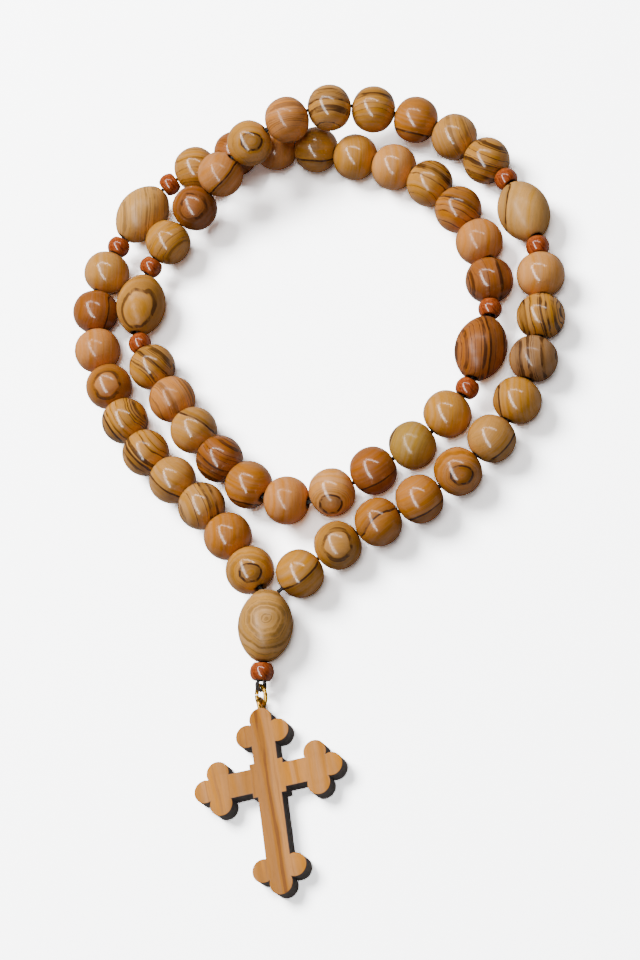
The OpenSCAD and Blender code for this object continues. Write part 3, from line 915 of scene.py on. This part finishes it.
def board_shape():
    """The cross with its outer edges eased."""
    shape = bmesh.new()
    shape.from_mesh(frame["nodes"]["cross"].data)
    bmesh.ops.remove_doubles(shape, verts=shape.verts, dist=MERGE)
    bmesh.ops.dissolve_limit(shape, angle_limit=math.radians(1), verts=shape.verts, edges=shape.edges)
    bmesh.ops.recalc_face_normals(shape, faces=shape.faces)
    rim = [edge for edge in shape.edges if len(edge.link_faces) == 2
           and max(abs(face.normal.z) for face in edge.link_faces) > FACE_UP
           and edge.calc_face_angle() > EDGE_ANGLE]
    bmesh.ops.bevel(shape, geom=rim, offset=EDGE_WEAR, segments=2, affect="EDGES", profile=0.5)
    bmesh.ops.triangulate(shape, faces=shape.faces)
    bmesh.ops.recalc_face_normals(shape, faces=shape.faces)
    mesh = bpy.data.meshes.new("olive_cross")
    shape.to_mesh(mesh)
    shape.free()
    mesh.shade_smooth()
    mesh.set_sharp_from_angle(angle=math.radians(12))
    return mesh


cross_mesh = board_shape()
cross_piece = bpy.data.objects.new("olive_cross", cross_mesh)
bpy.context.scene.collection.objects.link(cross_piece)
board = np.array([[(v.co - eye_centre).dot(way) * MM for way in (cross_right, cross_up, table_up)]
                  for v in cross_mesh.vertices])
ring = STREAK_AT + RINGS_DRAWN_OUT * (board[:, 0] + board[:, 1] * STREAK_SLOPE + STREAK_ASIDE)
fibre = board * (1, FIBRE_DRAWN_OUT, 1)
for label, kind, key, values in [
    ("ring", "FLOAT", "value", ring), ("fibre", "FLOAT_VECTOR", "vector", fibre.ravel()),
    ("board", "FLOAT_VECTOR", "vector", board.ravel()),
]:
    cross_mesh.attributes.new(label, kind, "POINT").data.foreach_set(key, values)
charred = [1.0 if abs(face.normal.z) < 0.3 else 0.55 if abs(face.normal.z) < FACE_UP else 0.0
           for face in cross_mesh.polygons]
cross_mesh.attributes.new("charred", "FLOAT", "FACE").data.foreach_set("value", charred)
cross_mesh.materials.append(cross_finish())
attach(cross_piece, "cross")
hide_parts("cross")


# ---- Table and light ----
# A white table in a room with windows. A broad soft light from the upper left throws pale shadows
# to the right, and a weak ceiling light fills them. Two long strips draw the bent highlight.
TABLE_SIZE = 3.0
TABLE_GAIN = 3.9
WALL_LIGHT = 0.11
WALL_SEEN = 5.0
WALL_IN_GLOSS = 0.06
STRIP_AWAY = 0.9

table_top = bpy.data.meshes.new("table")
half = TABLE_SIZE / 2
corners = [(-half, -half, 0), (half, -half, 0), (half, half, 0), (-half, half, 0)]
table_top.from_pydata(corners, [], [(0, 1, 2, 3)])
table = bpy.data.objects.new("table", table_top)
bpy.context.scene.collection.objects.link(table)


def table_finish():
    """Matt white. To the eye the sheet is brighter than the light it throws back on the wood."""
    material = bpy.data.materials.new("table_white")
    material.use_nodes = True
    tree = material.node_tree
    tree.nodes.clear()
    seen = put(tree, "ShaderNodeLightPath").outputs["Is Camera Ray"]
    bounced = put(tree, "ShaderNodeBsdfDiffuse", {"Color": (0.26, 0.24, 0.22, 1)})
    bright = (TABLE_GAIN * 0.985, TABLE_GAIN * 0.99, TABLE_GAIN, 1)
    looked_at = put(tree, "ShaderNodeBsdfDiffuse", {"Color": bright})
    either = put(tree, "ShaderNodeMixShader", {0: seen, 1: bounced.outputs[0], 2: looked_at.outputs[0]})
    put(tree, "ShaderNodeOutputMaterial", {"Surface": either.outputs[0]})
    return material


table_top.materials.append(table_finish())

world = bpy.data.worlds.new("room")
bpy.context.scene.world = world
world.use_nodes = True
room = world.node_tree
rays = put(room, "ShaderNodeLightPath").outputs
paleness = sum_up(room, "MULTIPLY_ADD", rays["Is Camera Ray"], WALL_SEEN - WALL_LIGHT, WALL_LIGHT)
paleness = sum_up(room, "MULTIPLY_ADD", rays["Is Glossy Ray"], WALL_IN_GLOSS - WALL_LIGHT, paleness)
room.nodes["Background"].inputs["Color"].default_value = (0.98, 0.99, 1.0, 1)
room.links.new(paleness, room.nodes["Background"].inputs["Strength"])


def area_light(name, centre, along, width, height, power):
    """A rectangular light that faces the rosary, with its width along the given direction."""
    lamp = bpy.data.lights.new(name, "AREA")
    lamp.shape = "RECTANGLE"
    lamp.size = width
    lamp.size_y = height
    lamp.energy = power
    made = bpy.data.objects.new(name, lamp)
    back = centre.normalized()
    side = (along - back * along.dot(back)).normalized()
    turn = Matrix((side, back.cross(side), back)).transposed().to_4x4()
    made.matrix_world = Matrix.Translation(centre) @ turn
    bpy.context.scene.collection.objects.link(made)
    return made


def strip(name, one_end, other_end, thickness, power):
    """A long bright strip between two directions as seen from above. Only gloss shows it."""
    ends = [seen_from_above(*end).normalized() * STRIP_AWAY for end in (one_end, other_end)]
    middle = (ends[0] + ends[1]) / 2
    made = area_light(name, middle, ends[1] - ends[0], (ends[1] - ends[0]).length, thickness, power)
    made.visible_diffuse = False


window = area_light("window", Vector((-0.62, 0.42, 1.0)), Vector((0, 1, 0)), 0.6, 0.6, 30.0)
window.visible_glossy = False
ceiling = area_light("ceiling", seen_from_above(-0.2, 0.3, 1.2), Vector((1, 0, 0)), 0.5, 0.5, 5.0)
ceiling.visible_glossy = False
strip("left_strip", (-0.60, 0.66, 0.42), (-0.08, -0.62, 0.75), 0.11, 9.5)
strip("far_strip", (-0.52, 0.74, 0.40), (0.34, 0.57, 0.70), 0.07, 3.2)
